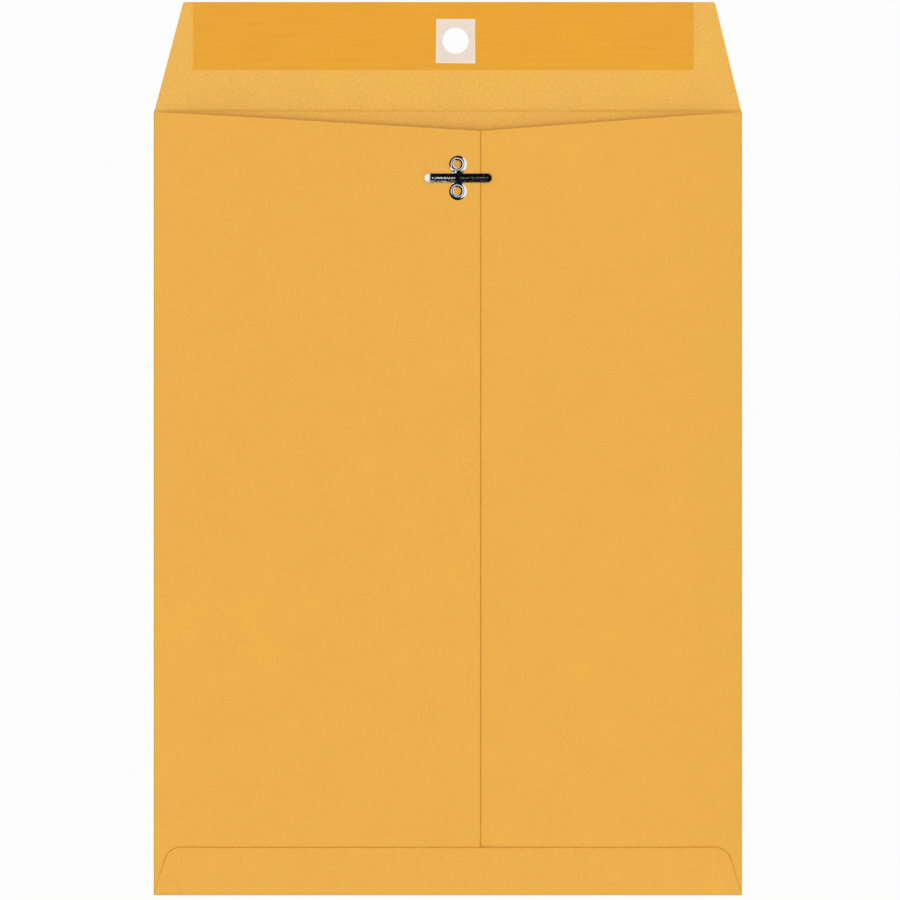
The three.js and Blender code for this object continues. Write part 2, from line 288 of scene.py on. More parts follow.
CLOUD_SIZE = 55 * MM
SPOT_SIZE = 14 * MM
GRAIN_SIZE = 0.9 * MM
DUST_SIZE = 0.32 * MM
FIBRE_SIZE = 0.35 * MM
FIBRE_STRETCH = (7, 1, 1)
FIBRE_TURNS = (0.5, -0.9)
# Painted shade along the score and the creases: how far it reaches and how dark it is.
SCORE_HALF = 0.7 * MM
SCORE_SHADE = 0.11
CREASE_HALF = 0.6 * MM
CREASE_SHADE = 0.16
KRAFT_ROUGHNESS = 0.78
front_low, front_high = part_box("front_panel")
paper = front_high.z - front_low.z
crease_x = front_high.x + paper
bottom_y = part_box("bottom_fold")[0].y


def beside(tree, distance, reach):
    """1 where the distance is 0, falling to 0 at the reach."""
    near = math_node(tree, "SUBTRACT", 1.0, math_node(tree, "DIVIDE", distance, reach))
    return math_node(tree, "MAXIMUM", near, 0.0)


def painted_fold_shade(tree, place, spots):
    """How much painted shade darkens the paper along its score, which is uneven, and along its creases.
    """
    parts = tree.nodes.new("ShaderNodeSeparateXYZ")
    tree.links.new(place, parts.inputs[0])
    x, y = parts.outputs["X"], parts.outputs["Y"]
    from_score = math_node(tree, "ABSOLUTE", math_node(tree, "SUBTRACT", y, score_y))
    from_side = math_node(tree, "SUBTRACT", crease_x, math_node(tree, "ABSOLUTE", x))
    from_bottom = math_node(tree, "SUBTRACT", y, bottom_y)
    from_crease = math_node(tree, "MINIMUM", from_side, from_bottom)
    uneven = math_node(tree, "ADD", 1.0, weighted_sum(tree, (spots, 2.5)))
    score = math_node(tree, "MULTIPLY", beside(tree, from_score, SCORE_HALF), uneven)
    crease = beside(tree, from_crease, CREASE_HALF)
    return weighted_sum(tree, (score, SCORE_SHADE), (crease, CREASE_SHADE))


def kraft_material(name, colour, blotch, grain):
    """A finish of kraft paper, with its amounts of blotches and of grain."""
    material, tree = new_material(name)
    place, sheet = flat_place(tree)
    cloud = noise(tree, place, sheet, CLOUD_SIZE, 2.0, stretch=(1.5, 1, 1))
    spots = noise(tree, place, sheet, SPOT_SIZE, 2.0)
    fine = noise(tree, place, sheet, GRAIN_SIZE, 3.0)
    dust = noise(tree, place, sheet, DUST_SIZE, 2.0)
    ways = [noise(tree, place, sheet, FIBRE_SIZE, 1.0, FIBRE_STRETCH, turn) for turn in FIBRE_TURNS]
    fibres = math_node(tree, "MULTIPLY", *ways)
    # The brightness takes off the painted shade along the score and the creases.
    brightness = weighted_sum(
        tree,
        (cloud, 0.03 * blotch),
        (spots, 0.05 * blotch),
        (fine, 0.20 * grain),
        (dust, 0.20 * grain),
        (fibres, 1.2 * grain),
        (painted_fold_shade(tree, place, spots), -1.0),
    )
    warmth = weighted_sum(tree, (cloud, 0.25 * blotch), (spots, 0.3 * blotch), (fine, 0.2))
    relief = weighted_sum(tree, (fine, 1.0), (dust, 0.6), (fibres, 3.0))
    coat(
        tree,
        tinted(tree, colour, brightness, warmth),
        roughness=math_node(tree, "ADD", weighted_sum(tree, (fine, 0.2)), KRAFT_ROUGHNESS),
        specular=0.25,
        relief=(relief, 0.35, 0.02 * MM),
    )
    return material


kraft_outside = kraft_material("kraft paper outside", (0.837, 0.433, 0.070), blotch=1.0, grain=0.7)
kraft_inside = kraft_material("kraft paper inside", (0.852, 0.465, 0.0905), blotch=1.0, grain=1.3)
kraft_edge = kraft_material("kraft paper cut edge", (0.62, 0.33, 0.08), blotch=0.5, grain=2.0)


# The front sheet: address panel and closing flap in one, scored where the flap turns over.
# It is cut flat from the roll, and the flap's hole is punched through it.
def mesh_of(shape, name):
    """The finished bmesh as a mesh."""
    mesh = bpy.data.meshes.new(name)
    shape.to_mesh(mesh)
    shape.free()
    return mesh


ON_LINE = 1e-7


def outline_sheet(name, outline, xs=(), ys=()):
    """A flat mesh of that outline at height 0, divided along the lines x and y."""
    shape = bmesh.new()
    shape.faces.new([shape.verts.new((x, y, 0)) for x, y in outline])
    for lines, normal in ((xs, (1, 0, 0)), (ys, (0, 1, 0))):
        for value in lines:
            bmesh.ops.bisect_plane(
                shape,
                geom=shape.verts[:] + shape.edges[:] + shape.faces[:],
                dist=ON_LINE,
                plane_co=tuple(value * part for part in normal),
                plane_no=normal,
            )
    for face in shape.faces:
        if face.normal.z < 0:
            face.normal_flip()
    return placed(name, mesh_of(shape, name))


def steps(start, end, count):
    return [start + (end - start) * k / count for k in range(count + 1)]


def clamped(tree, value, most=1.0):
    return math_node(tree, "MINIMUM", math_node(tree, "MAXIMUM", value, 0.0), most)


def new_tree(name, inputs):
    """A Geometry Nodes tree that takes a geometry and the named inputs, and those as outputs."""
    tree = bpy.data.node_groups.new(name, "GeometryNodeTree")
    for label, kind in {"Geometry": "Geometry", **inputs}.items():
        tree.interface.new_socket(label, in_out="INPUT", socket_type="NodeSocket" + kind)
    tree.interface.new_socket("Geometry", in_out="OUTPUT", socket_type="NodeSocketGeometry")
    return tree, tree.nodes.new("NodeGroupInput").outputs


MERGED_WITHIN = 0.002 * MM


def laying_tree():
    """The tree that lays a flat sheet over the pocket and gives it its thickness.
    Beside a crease the sheet rises as a quarter sine. At the lap it climbs over the sheet below."""
    inputs = {
        "Crease X": "Float",
        "Bottom Crease Y": "Float",
        "Side Bend Width": "Float",
        "Bottom Bend Width": "Float",
        "Clear Height": "Float",
        "Wrapped Paper": "Float",
        "Side Wrap": "Float",
        "Bottom Wrap": "Float",
        "Climb From": "Float",
        "Descend From": "Float",
        "Step Width": "Float",
        "Climb Rise": "Float",
        "Descend Rise": "Float",
        "Base Height": "Float",
        "Thickness": "Float",
        "Upper Material": "Material",
        "Under Material": "Material",
        "Edge Material": "Material",
    }
    tree, given = new_tree("Lay Over Pocket", inputs)
    node = tree.nodes.new
    link = tree.links.new

    parts = node("ShaderNodeSeparateXYZ")
    link(node("GeometryNodeInputPosition").outputs[0], parts.inputs[0])
    x, y = parts.outputs["X"], parts.outputs["Y"]
    from_side = math_node(tree, "SUBTRACT", given["Crease X"], math_node(tree, "ABSOLUTE", x))
    from_bottom = math_node(tree, "SUBTRACT", y, given["Bottom Crease Y"])

    def rise(distance, bend_width):
        wrapped = given["Wrapped Paper"]
        travel = math_node(tree, "SUBTRACT", distance, wrapped)
        width = math_node(tree, "SUBTRACT", given[bend_width], wrapped)
        share = clamped(tree, math_node(tree, "DIVIDE", travel, width))
        return math_node(tree, "SINE", math_node(tree, "MULTIPLY", share, math.pi / 2))

    def round_edge(distance):
        share = clamped(tree, math_node(tree, "DIVIDE", distance, given["Wrapped Paper"]))
        left = math_node(tree, "SUBTRACT", 1.0, share)
        square = math_node(tree, "MULTIPLY", left, left)
        return math_node(tree, "SQRT", math_node(tree, "SUBTRACT", 1.0, square))

    def step_up(start, height):
        ramp = node("ShaderNodeMapRange")
        ramp.interpolation_type = "SMOOTHSTEP"
        link(x, ramp.inputs["Value"])
        link(start, ramp.inputs["From Min"])
        link(math_node(tree, "ADD", start, given["Step Width"]), ramp.inputs["From Max"])
        return math_node(tree, "MULTIPLY", ramp.outputs[0], height)

    climb = step_up(given["Climb From"], given["Climb Rise"])
    descent = step_up(given["Descend From"], given["Descend Rise"])
    over_lap = math_node(tree, "SUBTRACT", climb, descent)
    pocket = math_node(tree, "MULTIPLY", rise(from_side, "Side Bend Width"), given["Clear Height"])
    bottom_rise = rise(from_bottom, "Bottom Bend Width")
    lifted = math_node(tree, "MULTIPLY", math_node(tree, "ADD", pocket, over_lap), bottom_rise)
    side_wrap = math_node(tree, "MULTIPLY", round_edge(from_side), given["Side Wrap"])
    wrap = math_node(tree, "ADD", side_wrap, given["Bottom Wrap"])
    wrap = math_node(tree, "MULTIPLY", wrap, round_edge(from_bottom))
    height = math_node(tree, "ADD", math_node(tree, "ADD", lifted, wrap), given["Base Height"])
    offset = node("ShaderNodeCombineXYZ")
    link(height, offset.inputs["Z"])
    laid = node("GeometryNodeSetPosition")
    link(given["Geometry"], laid.inputs["Geometry"])
    link(offset.outputs[0], laid.inputs["Offset"])

    under = node("GeometryNodeSetMaterial")
    link(laid.outputs[0], under.inputs["Geometry"])
    link(given["Under Material"], under.inputs["Material"])
    flipped = node("GeometryNodeFlipFaces")
    link(under.outputs[0], flipped.inputs[0])
    upper = node("GeometryNodeSetMaterial")
    link(laid.outputs[0], upper.inputs["Geometry"])
    link(given["Upper Material"], upper.inputs["Material"])
    up = node("ShaderNodeCombineXYZ")
    link(given["Thickness"], up.inputs["Z"])
    grown = node("GeometryNodeExtrudeMesh")
    grown.inputs["Individual"].default_value = False
    link(upper.outputs[0], grown.inputs["Mesh"])
    link(up.outputs[0], grown.inputs["Offset"])
    joined = node("GeometryNodeJoinGeometry")
    link(grown.outputs["Mesh"], joined.inputs[0])
    link(flipped.outputs[0], joined.inputs[0])
    merged = node("GeometryNodeMergeByDistance")
    merged.inputs["Distance"].default_value = MERGED_WITHIN
    link(joined.outputs[0], merged.inputs["Geometry"])
    real = node("GeometryNodeRealizeInstances")
    link(merged.outputs[0], real.inputs["Geometry"])
    edge = node("GeometryNodeSetMaterial")
    link(real.outputs[0], edge.inputs["Geometry"])
    link(grown.outputs["Side"], edge.inputs["Selection"])
    link(given["Edge Material"], edge.inputs["Material"])
    link(edge.outputs[0], node("NodeGroupOutput").inputs["Geometry"])
    return tree


def by_nodes(thing, tree, values):
    """Runs the tree on the object, with its inputs' values by their names."""
    modifier = thing.modifiers.new(tree.name, "NODES")
    modifier.node_group = tree
    for item in tree.interface.items_tree:
        if item.in_out == "INPUT" and item.name in values:
            modifier[item.identifier] = values[item.name]
    as_mesh(thing)


def as_mesh(thing):
    """Makes the modifiers' result the object's plain mesh."""
    bpy.context.view_layer.update()
    evaluated = thing.evaluated_get(bpy.context.evaluated_depsgraph_get())
    mesh = bpy.data.meshes.new_from_object(evaluated)
    thing.modifiers.clear()
    thing.data = mesh


PUNCH_SIDES = 96
PUNCH_REACH = 20 * MM


def punch(sheet, centre_x, centre_y, radius):
    """Punches a round hole through the sheet."""
    shape = bmesh.new()
    bmesh.ops.create_cone(
        shape,
        cap_ends=True,
        segments=PUNCH_SIDES,
        radius1=radius,
        radius2=radius,
        depth=PUNCH_REACH,
        matrix=Matrix.Translation((centre_x, centre_y, 0)),
    )
    mesh = mesh_of(shape, "punch")
    mesh.materials.append(kraft_edge)
    tool = placed("punch", mesh)
    cut = sheet.modifiers.new("punch", "BOOLEAN")
    cut.operation = "DIFFERENCE"
    cut.solver = "EXACT"
    cut.material_mode = "TRANSFER"
    cut.object = tool
    as_mesh(sheet)
    bpy.data.objects.remove(tool)


def store(mesh, name, kind, values):
    """Stores a value for each point of the mesh, for the materials."""
    mesh.attributes.new(name, kind, "POINT")
    field = "vector" if kind == "FLOAT_VECTOR" else "value"
    mesh.attributes[name].data.foreach_set(field, values)


PAPER_SHARP = math.radians(35)
lay_over_pocket = laying_tree()


def lay(sheet, number, sizes, punches=()):
    """Lays the flat sheet of that number by the tree, punches it, and stores its flat place."""
    by_nodes(sheet, lay_over_pocket, {**pocket_sizes, **sizes})
    for centre_x, centre_y, radius in punches:
        punch(sheet, centre_x, centre_y, radius)
    mesh = sheet.data
    mesh.shade_smooth()
    mesh.set_sharp_from_angle(angle=PAPER_SHARP)
    places = [part for vertex in mesh.vertices for part in (vertex.co.x, vertex.co.y, 0.0)]
    store(mesh, "flat_place", "FLOAT_VECTOR", places)
    store(mesh, "sheet_number", "FLOAT", [number] * len(mesh.vertices))


BOTTOM_BEND_WIDTH = 30.0 * MM
LAP_STEP = 8.0 * MM
NOWHERE = 1.0
right_low, right_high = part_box("right_back_panel")
left_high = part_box("left_back_panel")[1]
flap_low, flap_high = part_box("closing_flap")
side_bend_width = crease_x - right_high.x
seam_x = left_high.x
lap_x = right_low.x
lap_rise = left_high.z - right_high.z
pocket_sizes = {
    "Crease X": crease_x,
    "Bottom Crease Y": bottom_y,
    "Side Bend Width": side_bend_width,
    "Bottom Bend Width": BOTTOM_BEND_WIDTH,
    "Clear Height": right_high.z - 2 * paper,
    "Wrapped Paper": paper,
    "Side Wrap": 0.0,
    "Bottom Wrap": 0.0,
    "Climb From": NOWHERE,
    "Descend From": NOWHERE,
    "Step Width": LAP_STEP,
    "Climb Rise": 0.0,
    "Descend Rise": 0.0,
    "Base Height": 0.0,
    "Thickness": paper,
    "Upper Material": kraft_outside,
    "Under Material": kraft_inside,
    "Edge Material": kraft_edge,
}

FLAP_LEAN_LEFT = 11.5 * MM
FLAP_LEAN_RIGHT = 10.5 * MM
TIP_ROUND = 0.8 * MM
TIP_CORNER = ((0.25, 1.0), (-0.2, 0.25), (-1.0, 0.0))
ROLL = 1.5 * MM
ROLL_STEPS = 16
HOLE_X = 3.0 * MM
HOLE_FROM_SCORE = 27.3 * MM
HOLE_RADIUS = 5.1 * MM
GROOVE_DEPTH = 0.04 * MM
GROOVE_HALF = 0.3 * MM


def tip_corner(side, lean):
    """One corner of the flap, hardly rounded, from its slanted end to its long edge."""
    x = crease_x - lean
    return [
        (side * (x + out * TIP_ROUND), flap_high.y - down * TIP_ROUND) for out, down in TIP_CORNER
    ]


hole = (HOLE_X, score_y + HOLE_FROM_SCORE, HOLE_RADIUS)
front_sheet = outline_sheet(
    "front_sheet",
    [
        (-front_high.x, front_low.y),
        (front_high.x, front_low.y),
        (front_high.x, front_high.y),
        (flap_high.x, flap_low.y),
        *tip_corner(1, FLAP_LEAN_RIGHT),
        *reversed(tip_corner(-1, FLAP_LEAN_LEFT)),
        (-flap_high.x, flap_low.y),
        (-front_high.x, front_high.y),
    ],
    ys=steps(score_y - ROLL, score_y + ROLL, ROLL_STEPS),
)
lay(
    front_sheet,
    1,
    {"Clear Height": 0.0, "Upper Material": kraft_inside, "Under Material": kraft_outside},
    [hole],
)
for vertex in front_sheet.data.vertices:
    if vertex.co.z > paper / 2:
        share = max(0.0, 1 - abs(vertex.co.y - score_y) / GROOVE_HALF)
        vertex.co.z -= GROOVE_DEPTH * share
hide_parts("front_panel", "closing_flap")
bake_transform(front_sheet)

# The two back panels, each one sheet with its side fold, turned in from the side crease.
# The left one is glued over the right one along the middle, and its mouth edge falls to the seam.
BEND_STEPS = 24
WRAP_STEPS = 4
LAP_STEPS = 8
MOUTH_CORNER = 0.5 * MM
MOUTH_DROP = 7.6 * MM
EYELET_SPACING = 10.4 * MM
BARREL_RADIUS = 1.8 * MM
base_low, base_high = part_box("clasp_base")
clasp_x = (base_low.x + base_high.x) / 2
clasp_y = (base_low.y + base_high.y) / 2


def bend_stations(width):
    """Distances from a crease, close together where the sheet wraps it, then along its bend."""
    return steps(0, paper, WRAP_STEPS)[1:] + steps(paper, width, BEND_STEPS)[1:]


def side_stations(side):
    return [side * (crease_x - distance) for distance in bend_stations(side_bend_width)]


bottom_stations = [bottom_y + distance for distance in bend_stations(BOTTOM_BEND_WIDTH)]
lap_stations = steps(lap_x - LAP_STEP, lap_x, LAP_STEPS)


def back_sheet(name, side, inner_x, xs=()):
    """A back panel, flat, from its side crease to its inner edge, cut along the mouth."""
    drop = MOUTH_DROP / (crease_x - side * seam_x)
    outer_x = side * crease_x
    foot = bottom_y + paper
    outline = [
        (outer_x, foot),
        (inner_x, foot),
        (inner_x, score_y - MOUTH_CORNER - drop * abs(inner_x - outer_x)),
        (outer_x, score_y - MOUTH_CORNER),
    ]
    return outline_sheet(name, outline, [*side_stations(side), *xs], bottom_stations[WRAP_STEPS:])


right_sheet = back_sheet("right_back_sheet", 1, lap_x)
lay(right_sheet, 2, {"Side Wrap": paper})
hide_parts("right_back_panel", "right_side_fold")
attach(right_sheet, "pocket")

left_sheet = back_sheet("left_back_sheet", -1, seam_x, lap_stations)
lay(
    left_sheet,
    3,
    {"Side Wrap": paper, "Climb From": lap_x - LAP_STEP, "Climb Rise": lap_rise},
    [(clasp_x, clasp_y + end * EYELET_SPACING / 2, BARREL_RADIUS) for end in (-1, 1)],
)
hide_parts("left_back_panel", "left_side_fold")
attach(left_sheet, "pocket")

# The bottom flap, turned up from the bottom crease and glued over the back panels.
# Its ends lean in and its corners are rounded, so that nothing catches.
FLAP_CORNER = 7.0 * MM
BOTTOM_LEAN = 6.0 * MM
CORNER_STEPS = 20
GLUE_FILM = 0.1 * MM
bottom_flap_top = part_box("bottom_flap")[1].y
lean = math.atan2(BOTTOM_LEAN, bottom_flap_top - bottom_y)
corner_x = crease_x - BOTTOM_LEAN - FLAP_CORNER * math.tan((math.pi / 2 - lean) / 2)
corner_y = bottom_flap_top - FLAP_CORNER
right_corner = [
    (corner_x + FLAP_CORNER * math.cos(angle), corner_y + FLAP_CORNER * math.sin(angle))
    for angle in steps(lean, math.pi / 2, CORNER_STEPS)
]
left_corner = [(-x, y) for x, y in reversed(right_corner)]
bottom_sheet = outline_sheet(
    "bottom_sheet",
    [(-crease_x, bottom_y), (crease_x, bottom_y), *right_corner, *left_corner],
    [
        *side_stations(1),
        *side_stations(-1),
        *lap_stations,
        *steps(seam_x, seam_x + LAP_STEP, LAP_STEPS),
    ],
    bottom_stations,
)
over_the_lap = {
    "Side Wrap": paper,
    "Climb From": lap_x - LAP_STEP,
    "Climb Rise": lap_rise,
    "Descend From": seam_x,
    "Descend Rise": lap_rise,
}
lay(bottom_sheet, 4, {**over_the_lap, "Bottom Wrap": paper + GLUE_FILM})
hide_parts("bottom_fold", "bottom_flap")
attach(bottom_sheet, "pocket")

# The glue under the bottom flap and along the seam, dried to a clear yellowish film.
# It is rolled on before the sheets are pressed together, and stays hidden between them.
PASTE_SIZE = 3 * MM
glue_material, tree = new_material("dried paste")
place = tree.nodes.new("ShaderNodeTexCoord").outputs["Object"]
patches = noise(tree, place, 0.0, PASTE_SIZE, 3.0)
paste = tinted(tree, (0.74, 0.66, 0.46), weighted_sum(tree, (patches, 0.4)), patches)
coat(tree, paste, roughness=0.35)
for name in ("bottom_glue_left", "bottom_glue_right", "centre_seam_glue"):
    frame["nodes"][name].data.materials.clear()
    frame["nodes"][name].data.materials.append(glue_material)

# Painted shade along the seam and the bottom flap: a fine dark amber strip, shaped like glue squeezed
# out by the press, which stands in for the contact shade at the edge of the upper sheet. It lies in the
# corner between the edge of the upper sheet and the sheet under it.
LINE_WIDTH = 0.42 * MM
LINE_HEIGHT = 0.14 * MM
LINE_STEP = 2.0 * MM
LINE_BLOTCH_SIZE = 2.5 * MM
shade_line_material, tree = new_material("amber glue line")
line_blotches = noise(tree, *flat_place(tree), LINE_BLOTCH_SIZE, 3.0)
shade_line_colour = tinted(tree, (0.66, 0.31, 0.032), weighted_sum(tree, (line_blotches, 0.4)), line_blotches)
coat(tree, shade_line_colour, roughness=0.5, specular=0.15)


def line_sheet(name, path):
    """A flat mesh along a path, as wide as the painted shade line, on the path's left."""
    points = [Vector(path[0])]
    for end in path[1:]:
        start = points[-1]
        end = Vector(end)
        count = max(1, math.ceil((end - start).length / LINE_STEP))
        points += [start.lerp(end, k / count) for k in range(1, count + 1)]
    shape = bmesh.new()
    inner, outer = [], []
    for k, point in enumerate(points):
        along = (points[min(k + 1, len(points) - 1)] - points[max(k - 1, 0)]).normalized()
        side = Vector((-along.y, along.x)) * LINE_WIDTH
        inner.append(shape.verts.new((point.x, point.y, 0)))
        outer.append(shape.verts.new((point.x + side.x, point.y + side.y, 0)))
    for k in range(len(points) - 1):
        shape.faces.new((inner[k], inner[k + 1], outer[k + 1], outer[k]))
    return placed(name, mesh_of(shape, name))


def film(material, thickness):
    """What makes a laid sheet a film of one material."""
    sides = dict.fromkeys(("Upper Material", "Under Material", "Edge Material"), material)
    return {"Thickness": thickness, **sides}


# The painted shade line is laid as a thin dark film over the sheets, along the seam and round the
# bottom flap.
shade_line_film = {"Side Wrap": 2 * paper, **film(shade_line_material, LINE_HEIGHT)}
mouth_at_seam = score_y - MOUTH_CORNER - MOUTH_DROP
seam_line = line_sheet("seam_glue_line", [(seam_x, mouth_at_seam), (seam_x, bottom_flap_top)])
lay(seam_line, 8, shade_line_film)
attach(seam_line, "pocket")

foot_x = crease_x - LINE_WIDTH
foot_y = bottom_y + paper
flap_edge = line_sheet(
    "bottom_flap_glue_line",
    [(-foot_x, foot_y), *reversed(left_corner), *reversed(right_corner), (foot_x, foot_y)],
)
lay(flap_edge, 9, {**over_the_lap, **shade_line_film})
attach(flap_edge, "pocket")

# The gum on the flap: brushed on wet and dried to a thin, slightly glossy film.
# It darkens the kraft under it, and is moistened to seal the envelope.
BRUSH_SIZE = 1.6 * MM
POOL_SIZE = 22 * MM
GUM_GRAIN = 0.7 * MM
gum_material, tree = new_material("dried gum")
place, sheet = flat_place(tree)
brushed = noise(tree, place, sheet, BRUSH_SIZE, 2.0, stretch=(14, 1, 1))
pools = noise(tree, place, sheet, POOL_SIZE, 2.0, stretch=(2, 1, 1))
fine = noise(tree, place, sheet, GUM_GRAIN, 2.0)
brightness = weighted_sum(tree, (brushed, 0.10), (pools, 0.05), (fine, 0.16))
coat(
    tree,
    tinted(tree, (0.824, 0.380, 0.0333), brightness, pools),
    roughness=math_node(tree, "ADD", weighted_sum(tree, (fine, 0.25), (pools, 0.2)), 0.5),
    specular=0.15,
    relief=(weighted_sum(tree, (brushed, 1.0), (fine, 0.8)), 0.3, 0.02 * MM),
)


def stuck_film(low, high, material):
    """A film on the open flap, from the height of its lower corner to that of its upper one."""
    return {"Clear Height": 0.0, "Base Height": low.z, **film(material, high.z - low.z)}


gum_low, gum_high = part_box("flap_gum")
gum = outline_sheet(
    "flap_gum_film",
    [
        (gum_low.x, gum_low.y),
        (gum_high.x, gum_low.y),
        (gum_high.x, gum_high.y),
        (gum_low.x, gum_high.y),
    ],
)
lay(gum, 5, stuck_film(gum_low, gum_high, gum_material), [hole])
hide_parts("flap_gum")
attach(gum, "flap")

# The reinforcing patch: a small square of off-white paper stuck round the hole.
# It was cut and stuck by a quick machine, so it is a little out of square.
PATCH_BORDER = 0.75 * MM
PATCH_SPREAD = 0.2 * MM
PULP_SIZE = 3.5 * MM
PATCH_GRAIN = 0.5 * MM
patch_low, patch_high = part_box("hole_patch")
patch_material, tree = new_material("patch paper")
place, sheet = flat_place(tree)
pulp = noise(tree, place, sheet, PULP_SIZE, 3.0)
fine = noise(tree, place, sheet, PATCH_GRAIN, 2.0)
parts = tree.nodes.new("ShaderNodeSeparateXYZ")
tree.links.new(place, parts.inputs[0])
from_border = [
    math_node(tree, "SUBTRACT", parts.outputs["X"], patch_low.x),
    math_node(tree, "SUBTRACT", patch_high.x, parts.outputs["X"]),
    math_node(tree, "SUBTRACT", parts.outputs["Y"], patch_low.y),
    math_node(tree, "SUBTRACT", patch_high.y, parts.outputs["Y"]),
]
nearest = from_border[0]
for distance in from_border[1:]:
    nearest = math_node(tree, "MINIMUM", nearest, distance)
near_border = math_node(tree, "SUBTRACT", 1.0, math_node(tree, "DIVIDE", nearest, PATCH_BORDER))
border = clamped(tree, near_border, most=0.5)
brightness = weighted_sum(tree, (pulp, 0.10), (fine, 0.16), (border, 0.14))
warmth = weighted_sum(tree, (pulp, 0.25), (border, 0.12))
coat(
    tree,
    tinted(tree, (0.84, 0.72, 0.62), brightness, warmth),
    roughness=0.7,
    specular=0.3,
)
patch = outline_sheet(
    "hole_patch_paper",
    [
        (patch_low.x, patch_low.y + PATCH_SPREAD),
        (patch_high.x, patch_low.y),
        (patch_high.x - PATCH_SPREAD / 2, patch_high.y),
        (patch_low.x + PATCH_SPREAD, patch_high.y),
    ],
)
lay(patch, 6, stuck_film(patch_low, patch_high, patch_material), [hole])
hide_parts("hole_patch")
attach(patch, "flap")

# The clasp's two eyelets, drawn from the same bright tinned steel as its neck and prongs.
# Each one's barrel goes through the upper back panel and is curled over behind it. Each disc lies
# a little off its barrel, and the upper one's rim is turned up beside the neck.
SMUDGE_SIZE = 1.5 * MM
SCRATCH_SIZE = 0.45 * MM
ROLLED_SIZE = 0.12 * MM
tin_material, tree = new_material("bright tinned steel")
place = tree.nodes.new("ShaderNodeTexCoord").outputs["Object"]
rolled = noise(tree, place, 0.0, ROLLED_SIZE, 2.0, stretch=(8, 1, 1))
smudge = noise(tree, place, 0.0, SMUDGE_SIZE, 3.0)
scratches = noise(tree, place, 0.0, SCRATCH_SIZE, 2.0, stretch=(1.6, 1, 1))
ragged = math_node(tree, "ADD", weighted_sum(tree, (scratches, 6.5), (smudge, 2.0)), 0.75)
scuffed = math_node(tree, "MULTIPLY", attribute(tree, "scuffed", "Fac"), ragged)
scuffed = clamped(tree, scuffed)
rough = weighted_sum(tree, (smudge, 0.10), (rolled, 0.05), (scuffed, 0.55))
coat(
    tree,
    tinted(tree, (0.86, 0.85, 0.84), weighted_sum(tree, (smudge, 0.15)), smudge),
    roughness=math_node(tree, "ADD", rough, 0.10),
    metallic=math_node(tree, "ADD", weighted_sum(tree, (scuffed, -0.55)), 1.0),
    relief=(weighted_sum(tree, (rolled, 1.0), (smudge, 2.0)), 0.25, 0.01 * MM),
)

METAL = 0.3 * MM
BORE = 1.45 * MM
RIM = 2.1 * MM
CROWN = 0.6 * MM
FLANGE = 3.45 * MM
DISH_FOOT = RIM + 0.4 * MM
DISH_END = FLANGE - 0.85 * MM
CURL = 2.6 * MM
CURL_METAL = 0.8 * METAL
CURL_GAP = 0.05 * MM
EYELET_SIDES = 96
ROUNDINGS = 3
ONE_POINT = 1e-6
clasp_z = left_high.z
behind = -(paper + CURL_GAP)


def rounded(points, rounds):
    """A closed profile with its corners cut rounds times, each cut a quarter of the way along."""
    for _ in range(rounds):
        cut = []
        for here, there in zip(points, points[1:] + points[:1]):
            cut.append(tuple(0.75 * a + 0.25 * b for a, b in zip(here, there)))
            cut.append(tuple(0.25 * a + 0.75 * b for a, b in zip(here, there)))
        points = cut
    return points


eyelet_profile = rounded(
    [
        (BORE, behind - CURL_METAL),
        (CURL, behind - CURL_METAL),
        (CURL, behind),
        (BORE + METAL, behind),
        (BORE + METAL, 0),
        (FLANGE - 0.05 * MM, 0),
        (FLANGE, 0.05 * MM),
        (FLANGE, 0.08 * MM),
        (FLANGE - 0.05 * MM, 0.11 * MM),
        (DISH_END + 0.07 * MM, 0.37 * MM),
        (DISH_END, 0.38 * MM),
        (RIM + 0.42 * MM, 0.36 * MM),
        (RIM + 0.36 * MM, 0.35 * MM),
        (RIM + 0.32 * MM, 0.36 * MM),
        (RIM + 0.08 * MM, 0.56 * MM),
        (RIM + 0.04 * MM, 0.585 * MM),
        (RIM, CROWN),
        (RIM - 0.28 * MM, CROWN),
        (RIM - 0.32 * MM, 0.585 * MM),
        (RIM - 0.36 * MM, 0.56 * MM),
        (BORE + 0.06 * MM, 0.40 * MM),
        (BORE + 0.02 * MM, 0.37 * MM),
        (BORE, 0.30 * MM),
    ],
    ROUNDINGS,
)
shape = bmesh.new()
ring = [shape.verts.new((r, 0, z)) for r, z in eyelet_profile]
edges = [shape.edges.new(pair) for pair in zip(ring, ring[1:] + ring[:1])]
bmesh.ops.spin(
    shape,
    geom=ring + edges,
    axis=(0, 0, 1),
    cent=(0, 0, 0),
    angle=2 * math.pi,
    steps=EYELET_SIDES,
    use_merge=True,
)
bmesh.ops.remove_doubles(shape, verts=shape.verts[:], dist=ONE_POINT)
bmesh.ops.recalc_face_normals(shape, faces=shape.faces[:])
eyelets = placed("clasp_eyelets", mesh_of(shape, "eyelet"))


